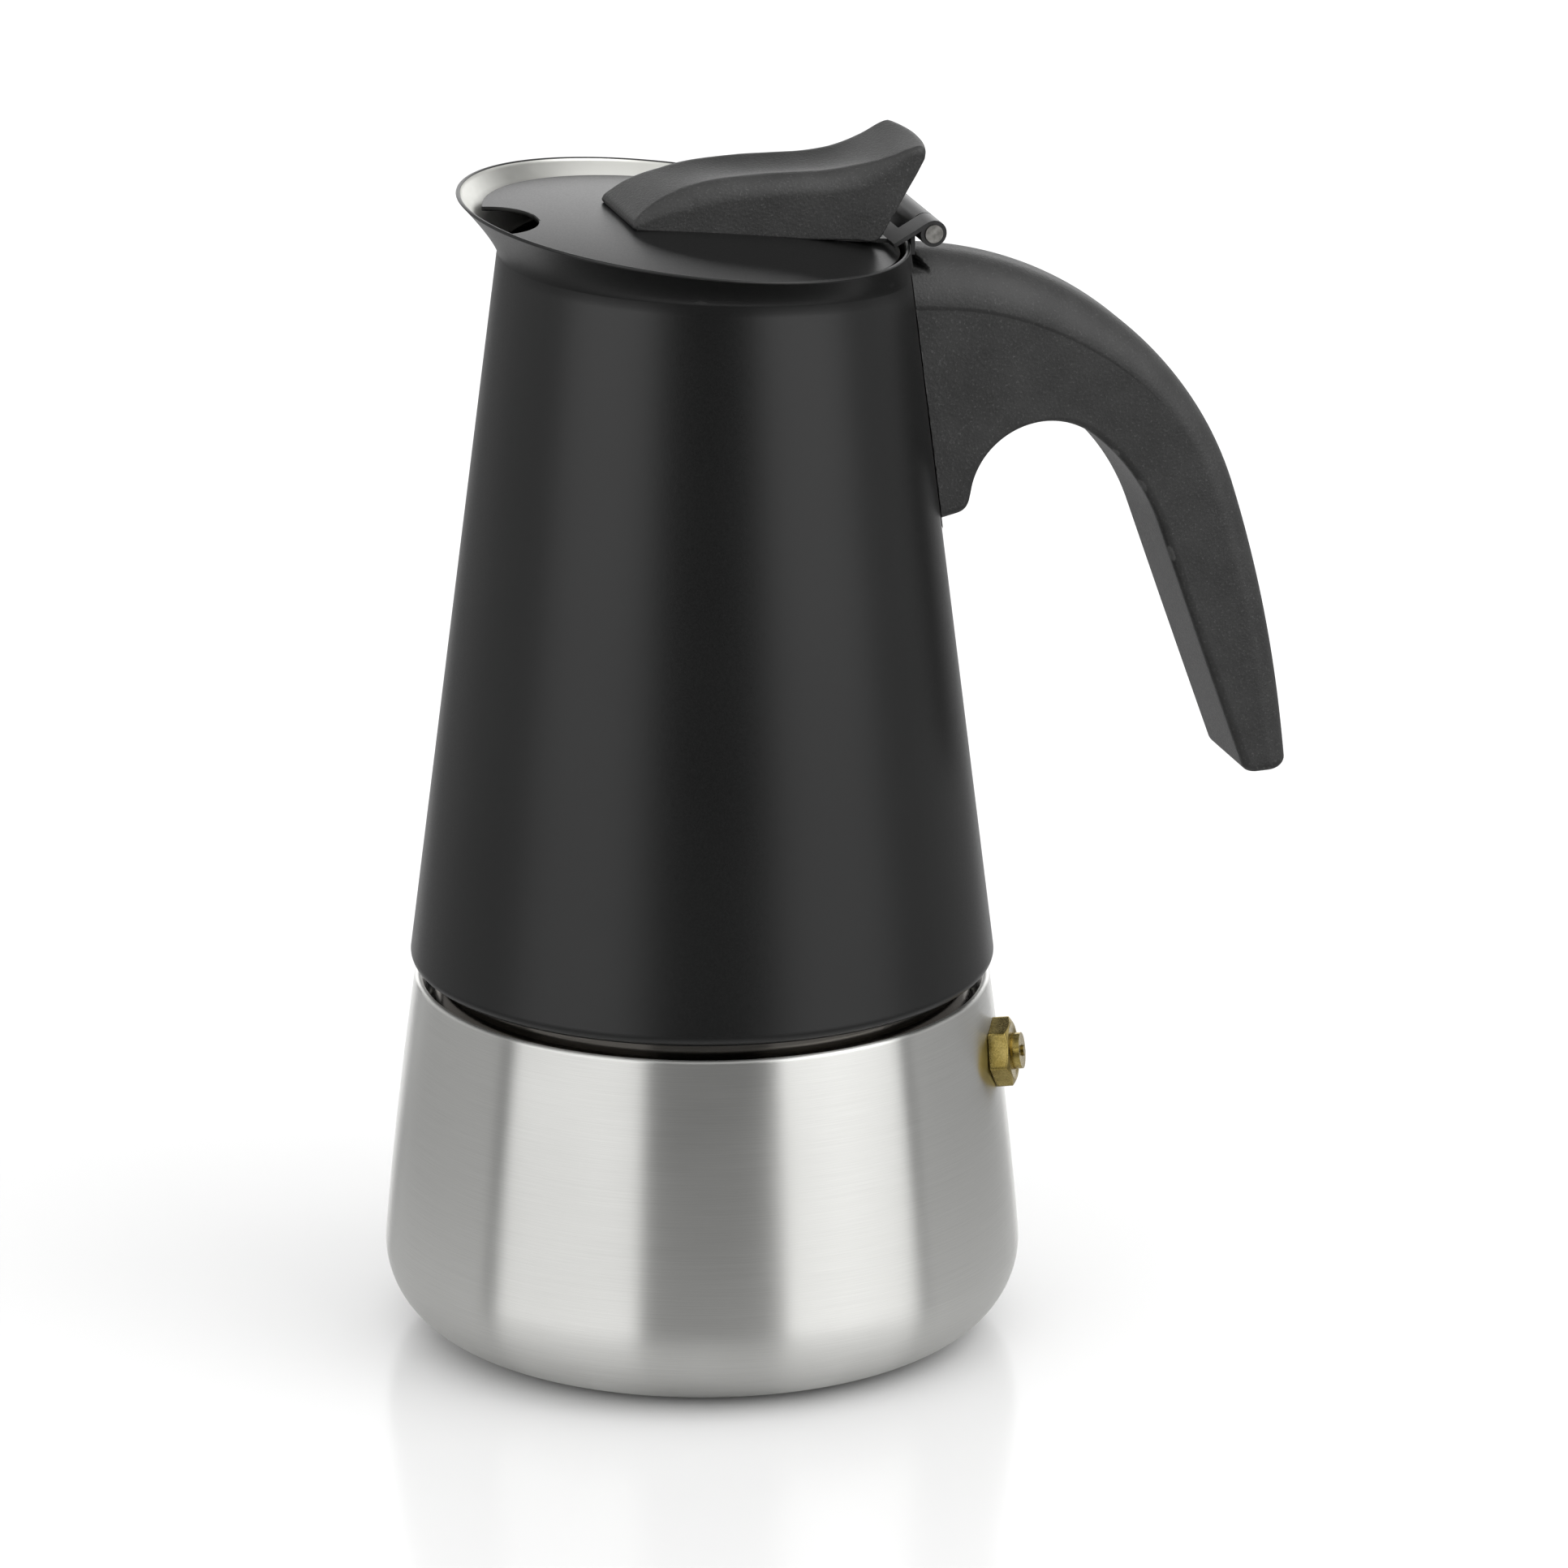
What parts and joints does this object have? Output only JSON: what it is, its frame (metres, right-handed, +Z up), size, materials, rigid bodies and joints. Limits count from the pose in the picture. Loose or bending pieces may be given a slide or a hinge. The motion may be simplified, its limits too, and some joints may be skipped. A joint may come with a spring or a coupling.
{
  "type": "moka pot",
  "caption": "Stovetop coffee maker: steel boiler with relief valve, black conical jug screwed on top, hinged lid with lever knob and arched handle.",
  "frame": {"origin": "centre of the boiler's flat base, on the surface it stands on", "axes": "+Z up along the axis of boiler and jug, +X towards the handle, spout at -X"},
  "size_m": [0.1521, 0.105, 0.2003],
  "materials": {
    "brushed_steel": "fine horizontal brushing, satin",
    "neck_steel": "turned, bright",
    "inner_steel": "bright, drawn sheet",
    "black_coating": "satin black coating on steel",
    "black_plastic": "matte, fine grained",
    "silicone": "matte, translucent white",
    "brass": "machined",
    "spring_steel": "bright drawn wire",
    "zinc_screw": "zinc plated",
    "pin_steel": "ground, bright",
    "black_sheet": "satin black coating on sheet steel"
  },
  "bodies": {
    "boiler": {"boiler_shell": "brushed_steel", "boiler_neck": "neck_steel", "funnel": "inner_steel", "funnel_screen": "inner_steel", "valve_body": "brass", "valve_washer": "silicone", "valve_nut": "brass", "valve_cap": "brass", "valve_spring": "spring_steel"},
    "relief": {"valve_plunger": "brass"},
    "seal": {"filter_gasket": "silicone", "filter_plate": "inner_steel"},
    "jug": {"jug_shell": "black_coating", "thread_ring": "neck_steel", "jug_floor": "inner_steel", "riser_column": "inner_steel", "column_cap": "inner_steel", "hinge_bracket": "black_sheet", "hinge_pin": "pin_steel", "handle_bracket": "inner_steel", "handle": "black_plastic", "handle_screw": "zinc_screw"},
    "lid": {"lid_disc": "black_coating", "lid_hinge_leaf": "black_sheet", "lid_knob": "black_plastic", "knob_screws": "zinc_screw"}
  },
  "joints": [
    {"name": "jug_rise", "type": "slide", "parent": "boiler", "child": "seal", "axis": [0, 0, 1], "range_m": [0, 0.006]},
    {"name": "jug_unscrew", "type": "hinge", "parent": "seal", "child": "jug", "pos_m": [0, 0, 0.065], "axis": [0, 0, 1], "range_deg": [0, 720]},
    {"name": "lid_hinge", "type": "hinge", "parent": "jug", "child": "lid", "pos_m": [0.0358, 0, 0.18615], "axis": [0, 1, 0], "range_deg": [0, 100]},
    {"name": "relief_lift", "type": "slide", "parent": "boiler", "child": "relief", "axis": [0.8841, -0.4505, 0.1246], "range_m": [0, 0.0012], "stiffness_N_per_m": 3000, "springref_m": -0.001, "deforming": ["valve_spring"]}
  ],
  "couplings": [
    {"joint": "jug_rise", "follows": "jug_unscrew", "m_per_rad": 0.00047746}
  ]
}
